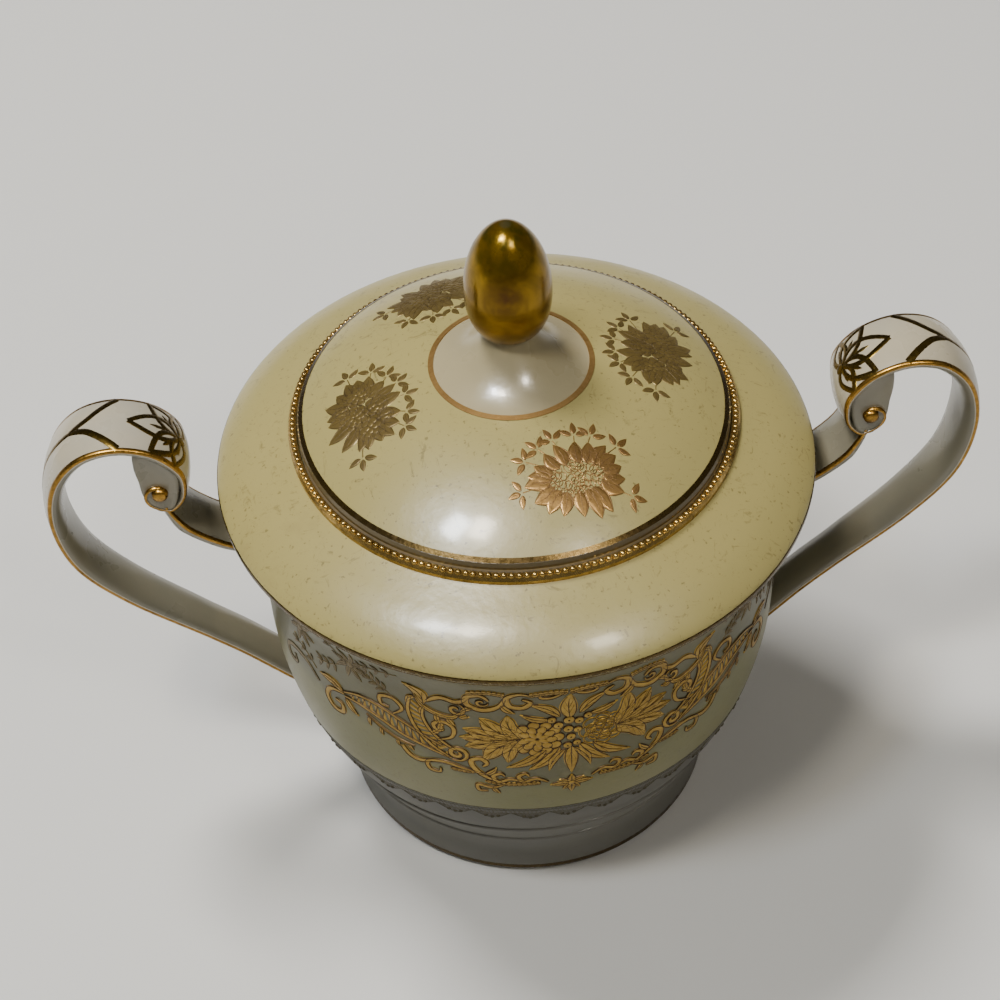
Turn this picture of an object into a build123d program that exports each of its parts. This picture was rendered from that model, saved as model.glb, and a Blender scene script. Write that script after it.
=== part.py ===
from build123d import *
import math
import os

# Covered sugar bowl: millimetres, +Z up, foot on z = 0, handles along X.

# Driving dimensions of the bowl
WALL = 3.2
FOOT_RADIUS = 37.8
FOOT_RECESS_RADIUS = 33.4
FOOT_RECESS_HEIGHT = 9.0
FLOOR_HEIGHT = 13.0
WAIST_RADIUS = 37.2
WAIST_HEIGHT = 5.6
RIDGE_RADIUS = 0.45
RIDGES = [(39.1, 13.6), (42.6, 21.6)]
BELLY_RADIUS = 50.7
BELLY_HEIGHT = 56.0
RIM_RADIUS = 57.2
RIM_HEIGHT = 85.6
SEAT_HEIGHT = 95.0
THROAT_RADIUS = 37.4
SEAT_RADIUS = 41.0

# Beaded ring round the mouth
RING_OUTER_RADIUS = 42.6
RING_HEIGHT = 1.5
RING_BEVEL = 0.4
BEAD_CIRCLE_RADIUS = 41.7
BEAD_RADIUS = 0.62
BEAD_COUNT = 192

# Lid
SEAT_GAP = 0.05
LIP_RADIUS = 40.75
LIP_HEIGHT = 97.5
DOME_RADIUS = 40.45
DOME_EDGE_HEIGHT = 98.2
DOME_TOP_RADIUS = 14.9
DOME_TOP_HEIGHT = 109.0
DOME_RISE = 1.7
LID_WALL = 3.0
LID_HOLLOW_INSET = 2.0
LID_HOLLOW_DRAFT = 1.5
LID_HOLLOW_RIM = 1.2
FLANGE_RADIUS = 36.9
FLANGE_WALL = 2.8
FLANGE_DEPTH = 5.0

# Finial
NECK_HEIGHT = 117.4
EGG_RADIUS = 8.0
EGG_WIDEST_HEIGHT = 127.5
EGG_TOP_HEIGHT = 141.8
EGG_LOWER_HALF = 11.2
EGG_UPPER_FULLNESS = 1.9
EGG_LOWER_FULLNESS = 2.6
EGG_STEPS = 12

# Gilt lines
GILT_WIDTH = 1.0
GILT_DEPTH = 0.35
GILT_PROUD = 0.05
SHOULDER_LINE_HEIGHT = 85.2
FOOT_LINE_HEIGHT = 2.0
LID_LINE_RADIUS = 39.91
LID_LINE_HEIGHT = 98.42
LID_LINE_SLOPE = -37
FINIAL_LINE_SLOPE = -14

# Handles
HANDLE_TOP_WIDTH = 14.0
HANDLE_TOP_LEVEL = 98.0
HANDLE_FOOT_WIDTH = 9.0
HANDLE_FOOT_LEVEL = 46.0
HANDLE_REACH = 90.0
CREST_RISE = 1.2
STRAP_EDGE = 3.7
STRAP_THICKNESS = 4.1
EYE_X = 67.0
EYE_Z = 92.4
EYE_RADIUS = 1.2
EYE_GROOVE_RADIUS = 2.9
EYE_FLOOR = 6.0
TIE_DEPTH = 44.0

# Outer outline of the wall, from the foot line up to the shoulder's rim
FOOT_OUTLINE = [
    (36.9, 0.0),
    (FOOT_RADIUS, 1.6),
    (WAIST_RADIUS, WAIST_HEIGHT),
    (38.3, 11.0),
    (40.3, 16.8),
    (43.3, 22.9),
]
BELLY_OUTLINE = [
    (43.3, 22.9),
    (46.4, 29.8),
    (48.8, 38.0),
    (50.3, 47.0),
    (BELLY_RADIUS, BELLY_HEIGHT),
    (50.7, 66.0),
    (51.3, 74.0),
    (53.2, 80.0),
    (56.2, 83.9),
]
SHOULDER_OUTLINE = [
    (56.2, 83.9),
    (RIM_RADIUS, RIM_HEIGHT),
    (55.6, 87.7),
    (50.0, 91.6),
    (RING_OUTER_RADIUS, SEAT_HEIGHT),
]

# Flare of the finial's stand, from the dome up to just under the neck
STAND_OUTLINE = [
    (DOME_TOP_RADIUS, DOME_TOP_HEIGHT),
    (11.8, 110.1),
    (9.2, 111.8),
    (7.0, 114.0),
]

# Hollow inside the wall
HOLLOW_OUTLINE = [
    (33.0, FLOOR_HEIGHT),
    (37.6, 16.6),
    (41.0, 23.6),
    (43.6, 30.8),
    (45.7, 38.6),
    (47.1, 47.2),
    (BELLY_RADIUS - WALL, BELLY_HEIGHT),
    (47.5, 66.0),
    (48.2, 74.6),
    (50.0, 80.8),
    (52.9, 84.9),
]
SHOULDER_HOLLOW = [
    (52.9, 84.9),
    (48.0, 88.8),
    (THROAT_RADIUS, 91.6),
]

# Strap handle on the +X side, as (x, z): its crest, from the root round the top to the scroll's underside
CREST_OUTLINE = [
    (TIE_DEPTH, 25.0),
    (49.6, 30.4),
    (58.1, 39.6),
    (66.1, 47.3),
    (78.8, 59.7),
    (87.1, 71.5),
    (HANDLE_REACH, 84.5),
    (88.0, 95.8),
    (82.2, 103.0),
    (74.2, 105.2),
    (66.4, 102.5),
    (61.7, 96.4),
    (62.0, 89.4),
    (65.3, 85.4),
]
ARM_TOP = [
    (TIE_DEPTH, 72.6),
    (55.9, 75.4),
    (61.6, 80.0),
    (65.3, 85.4),
]
SCROLL_CORE = [
    (65.3, 85.4),
    (64.0, 89.9),
    (63.7, 95.6),
    (67.6, 100.6),
    (70.6, 101.6),
]
SCROLL_TIP = [
    (70.6, 101.6),
    (71.3, 95.0),
    (70.6, 89.6),
    (67.9, 85.6),
]
ARM_UNDERSIDE = [
    (67.9, 85.6),
    (65.6, 80.6),
    (61.6, 74.3),
    (55.4, 69.4),
    (TIE_DEPTH, 66.6),
]


def ring_section(radius, height, angle):
    """Cross-section of a gilt line: a narrow band lying along a surface that slopes by angle."""
    with BuildSketch(Plane.XZ) as section:
        with Locations((radius, height)):
            Rectangle(GILT_WIDTH, GILT_DEPTH + GILT_PROUD, rotation=angle)
    return section.sketch


# Each gilt line as (radius, height, slope) of its cross-section
LINE_INSET = (GILT_DEPTH - GILT_PROUD) / 2
SHOULDER_LINE = ring_section(RIM_RADIUS - 2 * LINE_INSET, SHOULDER_LINE_HEIGHT, 90)
FOOT_LINE = ring_section(FOOT_RADIUS - LINE_INSET, FOOT_LINE_HEIGHT, 90)
LID_LINE = ring_section(LID_LINE_RADIUS, LID_LINE_HEIGHT, LID_LINE_SLOPE)
FINIAL_LINE = ring_section(DOME_TOP_RADIUS, DOME_TOP_HEIGHT, FINIAL_LINE_SLOPE)

# The wall's outer form, filled solid: the handles are cut back to it
with BuildPart() as wall_form:
    with BuildSketch(Plane.XZ) as form_profile:
        with BuildLine() as form_outline:
            Line((0, 0), FOOT_OUTLINE[0])
            Spline(*FOOT_OUTLINE)
            Spline(*BELLY_OUTLINE, tangents=[(3, 5.8), (1, 1)])
            Spline(*SHOULDER_OUTLINE)
            Line(SHOULDER_OUTLINE[-1], (0, SEAT_HEIGHT))
            Line((0, SEAT_HEIGHT), (0, 0))
        make_face()
    revolve(axis=Axis.Z)

# Bowl: wall, floor, foot, shoulder, and the seat that carries the lid
with BuildPart() as bowl_body:
    add(wall_form.part)
    with BuildSketch(Plane.XZ) as ridge_profile:
        for ridge in RIDGES:
            with Locations(ridge):
                Circle(RIDGE_RADIUS)
    revolve(axis=Axis.Z)
    with BuildSketch(Plane.XZ) as hollow_profile:
        with BuildLine() as hollow_outline:
            Line((0, FLOOR_HEIGHT), HOLLOW_OUTLINE[0])
            Spline(*HOLLOW_OUTLINE, tangents=[(1, 0.1), (0.6, 1)])
            Spline(*SHOULDER_HOLLOW, tangents=[(-0.6, 1), (-1, 0.1)])
            Line(SHOULDER_HOLLOW[-1], (THROAT_RADIUS, SEAT_HEIGHT))
            Line((THROAT_RADIUS, SEAT_HEIGHT), (0, SEAT_HEIGHT))
            Line((0, SEAT_HEIGHT), (0, FLOOR_HEIGHT))
        make_face()
    revolve(axis=Axis.Z, mode=Mode.SUBTRACT)
    with BuildSketch() as recess_profile:
        Circle(FOOT_RECESS_RADIUS)
    extrude(amount=FOOT_RECESS_HEIGHT, taper=4, mode=Mode.SUBTRACT)
    with BuildSketch(Plane.XZ) as body_lines:
        add(SHOULDER_LINE)
        add(FOOT_LINE)
    revolve(axis=Axis.Z, mode=Mode.SUBTRACT)
bowl_body.part.label = "bowl_body"

with BuildPart() as shoulder_gilt_line:
    add(SHOULDER_LINE)
    revolve(axis=Axis.Z)
shoulder_gilt_line.part.label = "shoulder_gilt_line"

with BuildPart() as foot_gilt_line:
    add(FOOT_LINE)
    revolve(axis=Axis.Z)
foot_gilt_line.part.label = "foot_gilt_line"

# Beaded ring that stands round the mouth and keeps the lid in the middle
with BuildPart() as bead_ring:
    with BuildSketch(Plane.XZ) as band_profile:
        with BuildLine() as band_outline:
            Polyline(
                (SEAT_RADIUS, SEAT_HEIGHT),
                (RING_OUTER_RADIUS, SEAT_HEIGHT),
                (RING_OUTER_RADIUS, SEAT_HEIGHT + RING_HEIGHT / 2),
                (RING_OUTER_RADIUS - RING_BEVEL, SEAT_HEIGHT + RING_HEIGHT),
                (SEAT_RADIUS, SEAT_HEIGHT + RING_HEIGHT),
                close=True,
            )
        make_face()
    revolve(axis=Axis.Z)
    with Locations((0, 0, SEAT_HEIGHT + RING_HEIGHT)):
        with PolarLocations(BEAD_CIRCLE_RADIUS, BEAD_COUNT):
            Sphere(BEAD_RADIUS)
bead_ring.part.label = "bead_ring"

# Lid: domed shell with a lip on the seat and a flange that drops into the throat
dome_run = DOME_RADIUS - DOME_TOP_RADIUS
dome_climb = DOME_TOP_HEIGHT - DOME_EDGE_HEIGHT
dome_chord = math.hypot(dome_run, dome_climb)
dome_middle = (
    (DOME_RADIUS + DOME_TOP_RADIUS) / 2 + DOME_RISE * dome_climb / dome_chord,
    (DOME_EDGE_HEIGHT + DOME_TOP_HEIGHT) / 2 + DOME_RISE * dome_run / dome_chord,
)
lid_base = SEAT_HEIGHT + SEAT_GAP
flange_inside = FLANGE_RADIUS - FLANGE_WALL
hollow_top_radius = DOME_TOP_RADIUS - LID_HOLLOW_INSET
with BuildPart() as lid:
    with BuildSketch(Plane.XZ) as lid_profile:
        with BuildLine() as lid_outline:
            Polyline(
                (FLANGE_RADIUS, SEAT_HEIGHT - FLANGE_DEPTH),
                (FLANGE_RADIUS, lid_base),
                (LIP_RADIUS, lid_base),
                (LIP_RADIUS, LIP_HEIGHT),
                (DOME_RADIUS, DOME_EDGE_HEIGHT),
            )
            ThreePointArc(
                (DOME_RADIUS, DOME_EDGE_HEIGHT), dome_middle, (DOME_TOP_RADIUS, DOME_TOP_HEIGHT)
            )
            Polyline(
                (DOME_TOP_RADIUS, DOME_TOP_HEIGHT),
                (0, DOME_TOP_HEIGHT),
                (0, DOME_TOP_HEIGHT - LID_WALL),
                (hollow_top_radius, DOME_TOP_HEIGHT - LID_WALL),
            )
            ThreePointArc(
                (hollow_top_radius, DOME_TOP_HEIGHT - LID_WALL),
                (dome_middle[0] - LID_HOLLOW_DRAFT, dome_middle[1] - LID_WALL),
                (flange_inside, LIP_HEIGHT + LID_HOLLOW_RIM),
            )
            Polyline(
                (flange_inside, LIP_HEIGHT + LID_HOLLOW_RIM),
                (flange_inside, SEAT_HEIGHT - FLANGE_DEPTH),
                (FLANGE_RADIUS, SEAT_HEIGHT - FLANGE_DEPTH),
            )
        make_face()
    revolve(axis=Axis.Z)
    with BuildSketch(Plane.XZ) as lid_lines:
        add(LID_LINE)
        add(FINIAL_LINE)
    revolve(axis=Axis.Z, mode=Mode.SUBTRACT)
lid.part.label = "lid"

with BuildPart() as lid_gilt_line:
    add(LID_LINE)
    revolve(axis=Axis.Z)
lid_gilt_line.part.label = "lid_gilt_line"

with BuildPart() as finial_gilt_line:
    add(FINIAL_LINE)
    revolve(axis=Axis.Z)
finial_gilt_line.part.label = "finial_gilt_line"

# Finial: an egg on a flared white stand


def egg_point(level):
    """Point of the egg's outline at a level from -1, its buried lower end, over 0, its widest, to 1, its tip."""
    half_height = EGG_TOP_HEIGHT - EGG_WIDEST_HEIGHT
    fullness = EGG_UPPER_FULLNESS
    if level < 0:
        half_height = EGG_LOWER_HALF
        fullness = EGG_LOWER_FULLNESS
    angle = abs(level) * math.pi / 2
    rise = half_height * math.sin(angle) ** (2 / fullness)
    return (EGG_RADIUS * math.cos(angle) ** (2 / fullness), EGG_WIDEST_HEIGHT + math.copysign(rise, level))


neck_drop = (EGG_WIDEST_HEIGHT - NECK_HEIGHT) / EGG_LOWER_HALF
neck_level = -2 / math.pi * math.asin(neck_drop ** (EGG_LOWER_FULLNESS / 2))
egg_points = []
for step in range(EGG_STEPS):
    egg_points.append(egg_point(neck_level + (1 - neck_level) * step / EGG_STEPS))
egg_points.append((0, EGG_TOP_HEIGHT))
neck_radius = egg_points[0][0]

with BuildPart() as finial_stand:
    with BuildSketch(Plane.XZ) as stand_profile:
        with BuildLine() as stand_outline:
            Line((0, DOME_TOP_HEIGHT), STAND_OUTLINE[0])
            Spline(*STAND_OUTLINE, (neck_radius, NECK_HEIGHT))
            Line((neck_radius, NECK_HEIGHT), (0, NECK_HEIGHT))
            Line((0, NECK_HEIGHT), (0, DOME_TOP_HEIGHT))
        make_face()
    revolve(axis=Axis.Z)
    add(finial_gilt_line.part, mode=Mode.SUBTRACT)
finial_stand.part.label = "finial_stand"

with BuildPart() as finial_egg:
    with BuildSketch(Plane.XZ) as egg_profile:
        with BuildLine() as egg_outline:
            Spline(*egg_points)
            Polyline(egg_points[-1], (0, NECK_HEIGHT), egg_points[0])
        make_face()
    revolve(axis=Axis.Z)
finial_egg.part.label = "finial_egg"

# Strap handle: a domed strap swept round the crest, with the scroll's core and the upper arm added,
# narrowed towards its root and cut back to the wall
with BuildPart() as handle_right:
    with BuildLine(Plane.XZ) as crest_path:
        Spline(*CREST_OUTLINE)
    crest = crest_path.line
    edge = HANDLE_TOP_WIDTH / 2
    with BuildSketch(Plane(crest @ 0, x_dir=(0, 1, 0), z_dir=crest % 0)) as strap_section:
        with BuildLine() as strap_outline:
            ThreePointArc((-edge, CREST_RISE), (0, 0), (edge, CREST_RISE))
            Line((edge, CREST_RISE), (edge, STRAP_EDGE))
            ThreePointArc((edge, STRAP_EDGE), (0, STRAP_THICKNESS), (-edge, STRAP_EDGE))
            Line((-edge, STRAP_EDGE), (-edge, CREST_RISE))
        make_face()
    sweep(path=crest)
    with BuildSketch(Plane.XZ) as core_profile:
        with BuildLine() as core_outline:
            Spline(*ARM_TOP)
            Polyline(*SCROLL_CORE)
            Spline(*SCROLL_TIP)
            Spline(*ARM_UNDERSIDE)
            Line(ARM_UNDERSIDE[-1], ARM_TOP[0])
        make_face()
    extrude(amount=HANDLE_TOP_WIDTH / 2, both=True)
    with BuildSketch(Plane.YZ) as width_profile:
        with BuildLine() as width_outline:
            Polyline(
                (-HANDLE_FOOT_WIDTH / 2, 0),
                (HANDLE_FOOT_WIDTH / 2, 0),
                (HANDLE_FOOT_WIDTH / 2, HANDLE_FOOT_LEVEL),
                (HANDLE_TOP_WIDTH / 2, HANDLE_TOP_LEVEL),
                (HANDLE_TOP_WIDTH / 2, EGG_TOP_HEIGHT),
                (-HANDLE_TOP_WIDTH / 2, EGG_TOP_HEIGHT),
                (-HANDLE_TOP_WIDTH / 2, HANDLE_TOP_LEVEL),
                (-HANDLE_FOOT_WIDTH / 2, HANDLE_FOOT_LEVEL),
                close=True,
            )
        make_face()
    extrude(amount=2 * HANDLE_REACH, mode=Mode.INTERSECT)
    for side in (-1, 1):
        with BuildSketch(Plane.XZ.offset(side * EYE_FLOOR)) as eye_groove:
            with Locations((EYE_X, EYE_Z)):
                Circle(EYE_GROOVE_RADIUS)
                Circle(EYE_RADIUS, mode=Mode.SUBTRACT)
        extrude(amount=side * HANDLE_TOP_WIDTH, mode=Mode.SUBTRACT)
    add(wall_form.part, mode=Mode.SUBTRACT)
handle_right.part.label = "handle_right"

with BuildPart() as handle_left:
    add(mirror(handle_right.part, about=Plane.YZ, mode=Mode.PRIVATE))
handle_left.part.label = "handle_left"

os.makedirs("parts", exist_ok=True)
export_step(bowl_body.part, "parts/bowl_body.step")
export_step(shoulder_gilt_line.part, "parts/shoulder_gilt_line.step")
export_step(foot_gilt_line.part, "parts/foot_gilt_line.step")
export_step(bead_ring.part, "parts/bead_ring.step")
export_step(handle_left.part, "parts/handle_left.step")
export_step(handle_right.part, "parts/handle_right.step")
export_step(lid.part, "parts/lid.step")
export_step(lid_gilt_line.part, "parts/lid_gilt_line.step")
export_step(finial_gilt_line.part, "parts/finial_gilt_line.step")
export_step(finial_stand.part, "parts/finial_stand.step")
export_step(finial_egg.part, "parts/finial_egg.step")
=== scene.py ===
import math
import random

import bpy
from mathutils import Matrix, Vector
from mathutils.bvhtree import BVHTree


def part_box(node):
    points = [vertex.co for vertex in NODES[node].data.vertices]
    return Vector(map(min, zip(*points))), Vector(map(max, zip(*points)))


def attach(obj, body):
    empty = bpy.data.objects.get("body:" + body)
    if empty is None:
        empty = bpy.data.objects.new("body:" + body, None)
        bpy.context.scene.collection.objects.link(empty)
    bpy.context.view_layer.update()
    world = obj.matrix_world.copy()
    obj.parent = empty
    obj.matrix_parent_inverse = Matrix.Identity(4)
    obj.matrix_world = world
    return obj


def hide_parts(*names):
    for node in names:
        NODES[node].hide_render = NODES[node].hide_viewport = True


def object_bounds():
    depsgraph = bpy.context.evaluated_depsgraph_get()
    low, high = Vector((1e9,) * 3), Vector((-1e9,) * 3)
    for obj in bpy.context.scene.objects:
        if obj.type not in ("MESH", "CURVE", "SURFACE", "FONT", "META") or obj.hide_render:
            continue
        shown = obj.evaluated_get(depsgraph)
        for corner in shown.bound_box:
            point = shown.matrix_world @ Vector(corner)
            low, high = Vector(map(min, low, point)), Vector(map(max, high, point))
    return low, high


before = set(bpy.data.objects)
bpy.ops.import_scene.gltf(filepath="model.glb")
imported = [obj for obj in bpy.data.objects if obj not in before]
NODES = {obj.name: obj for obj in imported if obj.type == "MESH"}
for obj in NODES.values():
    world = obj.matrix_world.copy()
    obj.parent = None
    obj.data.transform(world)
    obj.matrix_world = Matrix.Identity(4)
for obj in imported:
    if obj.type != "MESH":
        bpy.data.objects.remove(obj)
CAD_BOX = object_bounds()
MM = 0.001
rng = random.Random(7)


# ---------------------------------------------------------------- where things are, read from the parts in model.glb

def surface_tree(node):
    mesh = NODES[node].data
    place = NODES[node].matrix_world
    corners = [place @ vertex.co for vertex in mesh.vertices]
    return BVHTree.FromPolygons(corners, [tuple(face.vertices) for face in mesh.polygons])


def table(function, start, stop, step):
    count = int(round((stop - start) / step))
    return [(start + i * step, function(start + i * step)) for i in range(count + 1)]


def read(rows, x):
    """Value at x in a table of evenly spaced (x, value) rows."""
    step = rows[1][0] - rows[0][0]
    place = min(max((x - rows[0][0]) / step, 0.0), len(rows) - 1.001)
    i = int(place)
    return rows[i][1] + (rows[i + 1][1] - rows[i][1]) * (place - i)


BOWL_TREE = surface_tree("bowl_body")
LID_TREE = surface_tree("lid")
FAR = 0.3


def wall_radius_at(height):
    hit = BOWL_TREE.ray_cast(Vector((0, -FAR, height * MM)), Vector((0, 1, 0)))[0]
    return -hit.y / MM


def lid_height_at(radius):
    hit = LID_TREE.ray_cast(Vector((0, -radius * MM, FAR)), Vector((0, 0, -1)))[0]
    return hit.z / MM


FOOT_TOP = 24.0
SHOULDER_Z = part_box("shoulder_gilt_line")[0][2] / MM
LID_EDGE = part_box("lid")[1][0] / MM
LIP_UNDERSIDE = 97.0
STAND_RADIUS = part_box("finial_stand")[1][0] / MM
WALL = table(wall_radius_at, FOOT_TOP, SHOULDER_Z - 1.0, 0.5)
DOME = table(lid_height_at, STAND_RADIUS + 0.5, LID_EDGE - 0.5, 0.5)
BELLY = max(radius for height, radius in WALL if height < 70)


# ---------------------------------------------------------------- drawing in relief

FILL, LINE = 0, 1
SINK = -0.12


def smooth(points, steps=6):
    """A rounded line through the given 2-D points."""
    out = []
    last = len(points) - 1
    for i in range(last):
        a = points[max(i - 1, 0)]
        b = points[i]
        c = points[i + 1]
        d = points[min(i + 2, last)]
        for k in range(steps):
            t = k / steps
            out.append(tuple(
                0.5 * (2 * b[n] + (c[n] - a[n]) * t + (2 * a[n] - 5 * b[n] + 4 * c[n] - d[n]) * t * t
                       + (3 * b[n] - a[n] - 3 * c[n] + d[n]) * t ** 3)
                for n in range(len(b))))
    out.append(tuple(points[last]))
    return out


def polar(centre, reach, angle):
    """The point at a distance from centre, at an angle in radians."""
    return (centre[0] + reach * math.cos(angle), centre[1] + reach * math.sin(angle))


def curl(centre, radius, start, turns, shrink=0.18, steps=14):
    """A spiral that winds inwards round centre. start is in degrees, and turns below 0 winds clockwise."""
    count = max(6, int(abs(turns) * steps))
    out = []
    for i in range(count + 1):
        t = i / count
        r = radius * (1 - (1 - shrink) * t)
        angle = math.radians(start) + 2 * math.pi * turns * t
        out.append(polar(centre, r, angle))
    return out


def offset(points, distance, tips):
    """The line moved sideways by a distance that shrinks at its ends as a stroke's width does."""
    count = len(points)
    out = []
    for i, (u, v) in enumerate(points):
        a, b = points[max(i - 1, 0)], points[min(i + 1, count - 1)]
        du, dv = b[0] - a[0], b[1] - a[1]
        size = math.hypot(du, dv) or 1.0
        t = i / (count - 1)
        swell = min(1.0, tips[0] + (1 - tips[0]) * t * 4, tips[1] + (1 - tips[1]) * (1 - t) * 4)
        out.append((u - dv / size * distance * swell, v + du / size * distance * swell))
    return out


class Relief:
    """Raised gilding: drawn flat in millimetres as (across, up, height), then laid on a surface."""

    def __init__(self, place, flip=False, lift=1.0):
        self.place = place
        self.flip = flip
        self.lift = lift
        self.rows = []
        self.frame = (0.0, 0.0, 1.0, 0.0, 1.0)

    def at(self, x=0.0, y=0.0, size=1.0, turn=0.0, mirror=1.0):
        self.frame = (x, y, size, math.radians(turn), mirror)
        return self

    def grid(self, rows, mark):
        x, y, size, turn, mirror = self.frame
        cos, sin = math.cos(turn) * size, math.sin(turn) * size
        moved = []
        for row in rows:
            moved.append([
                (x + mirror * (u * cos - v * sin), y + u * sin + v * cos, h * self.lift)
                for u, v, h in row])
        if mirror < 0:
            moved = [row[::-1] for row in moved]
        self.rows.append((moved, mark))

    def stroke(self, points, width, rise=0.22, mark=LINE, tips=(0.35, 0.35), shift=0.0):
        """A raised line along 2-D points, narrowed at its ends to tips times its width."""
        count = len(points)
        rows = []
        for i, (u, v) in enumerate(points):
            a = points[max(i - 1, 0)]
            b = points[min(i + 1, count - 1)]
            du, dv = b[0] - a[0], b[1] - a[1]
            size = math.hypot(du, dv) or 1.0
            t = i / (count - 1)
            swell = min(1.0, tips[0] + (1 - tips[0]) * t * 4, tips[1] + (1 - tips[1]) * (1 - t) * 4)
            w = width * swell / 2
            nu, nv = -dv / size, du / size
            rows.append([
                (u + nu * w, v + nv * w, SINK + shift),
                (u + nu * w * 0.7, v + nv * w * 0.7, rise * 0.75 + shift),
                (u, v, rise + shift),
                (u - nu * w * 0.7, v - nv * w * 0.7, rise * 0.75 + shift),
                (u - nu * w, v - nv * w, SINK + shift),
            ])
        self.grid(rows, mark)

    def band(self, points, width, tips=(0.4, 0.4), vein=False):
        """A tan scroll with a dark line inside each edge, and a pale margin outside them."""
        self.stroke(points, width, 0.2, FILL, tips)
        for side in (-1, 1):
            self.stroke(offset(points, side * width * 0.34, tips), 0.2, 0.12, LINE, (0.8, 0.8), shift=0.12)
        if vein:
            self.stroke(points[1:-1], 0.18, 0.12, LINE, (0.6, 0.3), shift=0.12)

    def scroll(self, points, width, tips=(0.4, 0.4)):
        self.band(smooth(points), width, tips)

    def plume(self, points, width, lobes, side, reach):
        """An acanthus leaf: a curved band with a comb of lobes down one side."""
        count = len(points)
        for k in range(lobes):
            i = int((0.12 + 0.76 * k / max(lobes - 1, 1)) * (count - 1))
            a, b = points[max(i - 1, 0)], points[min(i + 1, count - 1)]
            way = math.atan2(b[1] - a[1], b[0] - a[0]) + side * math.radians(58)
            size = reach * (1 - 0.09 * k)
            self.leaf(points[i], polar(points[i], size, way), reach * 0.42, 0.14 * side, edge=0.2)
        self.band(points, width, (0.3, 0.3), vein=True)

    def leaf(self, base, tip, width, bend=0.0, veins=1, edge=0.3, lobes=0):
        """A pointed leaf from base to tip, with a dark line inside its edge and dark veins."""
        du, dv = tip[0] - base[0], tip[1] - base[1]
        length = math.hypot(du, dv)
        nu, nv = -dv / length, du / length
        steps = 10
        spine, sides = [], []
        for i in range(steps + 1):
            t = i / steps
            lean = bend * math.sin(math.pi * t) * length
            spine.append((base[0] + du * t + nu * lean, base[1] + dv * t + nv * lean))
            wave = 1 + (0.14 * math.sin(lobes * math.pi * t) if lobes else 0)
            sides.append(width / 2 * math.sin(math.pi * t ** 0.75) ** 0.8 * wave if 0 < t < 1 else 0.02)
        rows = []
        for (u, v), w in zip(spine, sides):
            rows.append([
                (u + nu * w, v + nv * w, SINK), (u + nu * w * 0.9, v + nv * w * 0.9, 0.12),
                (u + nu * w * 0.4, v + nv * w * 0.4, 0.21), (u, v, 0.16),
                (u - nu * w * 0.4, v - nv * w * 0.4, 0.21), (u - nu * w * 0.9, v - nv * w * 0.9, 0.12),
                (u - nu * w, v - nv * w, SINK),
            ])
        self.grid(rows, FILL)
        for side in (1, -1):
            rim = [(u + nu * w * 0.78 * side, v + nv * w * 0.78 * side) for (u, v), w in zip(spine, sides)]
            self.stroke(rim[:-1], edge, 0.22, LINE, (0.6, 0.6))
        if veins:
            self.stroke(spine[:-2], edge * 0.9, 0.25, LINE, (1.0, 0.3))
        for k in range(1, veins):
            for side in (1, -1):
                a = spine[2 * k]
                b = spine[min(2 * k + 3, steps)]
                w = sides[min(2 * k + 3, steps)] * 0.55
                self.stroke([a, (b[0] + nu * w * side, b[1] + nv * w * side)], edge * 0.75, 0.26, LINE)

    def petal(self, centre, long, wide, turn, outline=0.28, rise=0.24, mark=FILL):
        """A rounded petal centred on a point, its long axis turned by degrees."""
        ring = 14
        cos, sin = math.cos(math.radians(turn)), math.sin(math.radians(turn))
        rows = []
        for scale, h in ((1.0, SINK), (0.9, rise * 0.6), (0.55, rise), (0.02, rise)):
            row = []
            for i in range(ring + 1):
                angle = 2 * math.pi * i / ring
                a, b = long / 2 * scale * math.cos(angle), wide / 2 * scale * math.sin(angle)
                row.append((centre[0] + a * cos - b * sin, centre[1] + a * sin + b * cos, h))
            rows.append(row)
        if mark is not None:
            self.grid(rows, mark)
        rim = [(u, v) for u, v, h in rows[1]]
        if mark is None:
            self.stroke(rim, outline * 2.2, 0.18, FILL, (1, 1))
        if outline:
            self.stroke(rim, outline * (0.7 if mark is None else 1.0), 0.23, LINE, (1, 1))

    def rose(self, centre, radius, petals=7, filled=True, outline=0.24):
        """A flower in rings of overlapping petals."""
        mark = FILL if filled else None
        for ring, (reach, number) in enumerate(((0.76, petals + 1), (0.5, petals - 1), (0.26, petals - 3))):
            for i in range(number):
                turn = 360 / number * (i + 0.5 * ring) + 11 * ring
                angle = math.radians(turn)
                place = polar(centre, radius * reach, angle)
                wide = 2 * math.pi * radius * reach / number * 1.15
                rise = 0.18 + 0.05 * ring
                self.petal(place, radius * 0.5, wide, turn, outline, rise, mark)

    def build(self, name, materials, body="bowl", slot="gilt"):
        verts, faces, marks = [], [], []
        for rows, mark in self.rows:
            start = len(verts)
            across = len(rows[0])
            for row in rows:
                verts.extend(self.place(*point) for point in row)
            for i in range(len(rows) - 1):
                for k in range(across - 1):
                    a = start + i * across + k
                    quad = (a, a + 1, a + across + 1, a + across)
                    faces.append(quad[::-1] if self.flip else quad)
                    marks.append(mark)
        return make_piece(name, verts, faces, materials, body, slot, marks)


def make_piece(name, verts, faces, materials, body, slot, marks=None, replaces=()):
    mesh = bpy.data.meshes.new(name)
    mesh.from_pydata([tuple(v) for v in verts], [], faces)
    mesh.validate()
    for material in materials:
        mesh.materials.append(material)
    for i, face in enumerate(mesh.polygons):
        face.use_smooth = True
        if marks and i < len(marks):
            face.material_index = marks[i]
    piece = bpy.data.objects.new(name, mesh)
    bpy.context.scene.collection.objects.link(piece)
    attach(piece, body)
    if replaces:
        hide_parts(*replaces)
    return piece


# ---------------------------------------------------------------- materials

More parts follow.
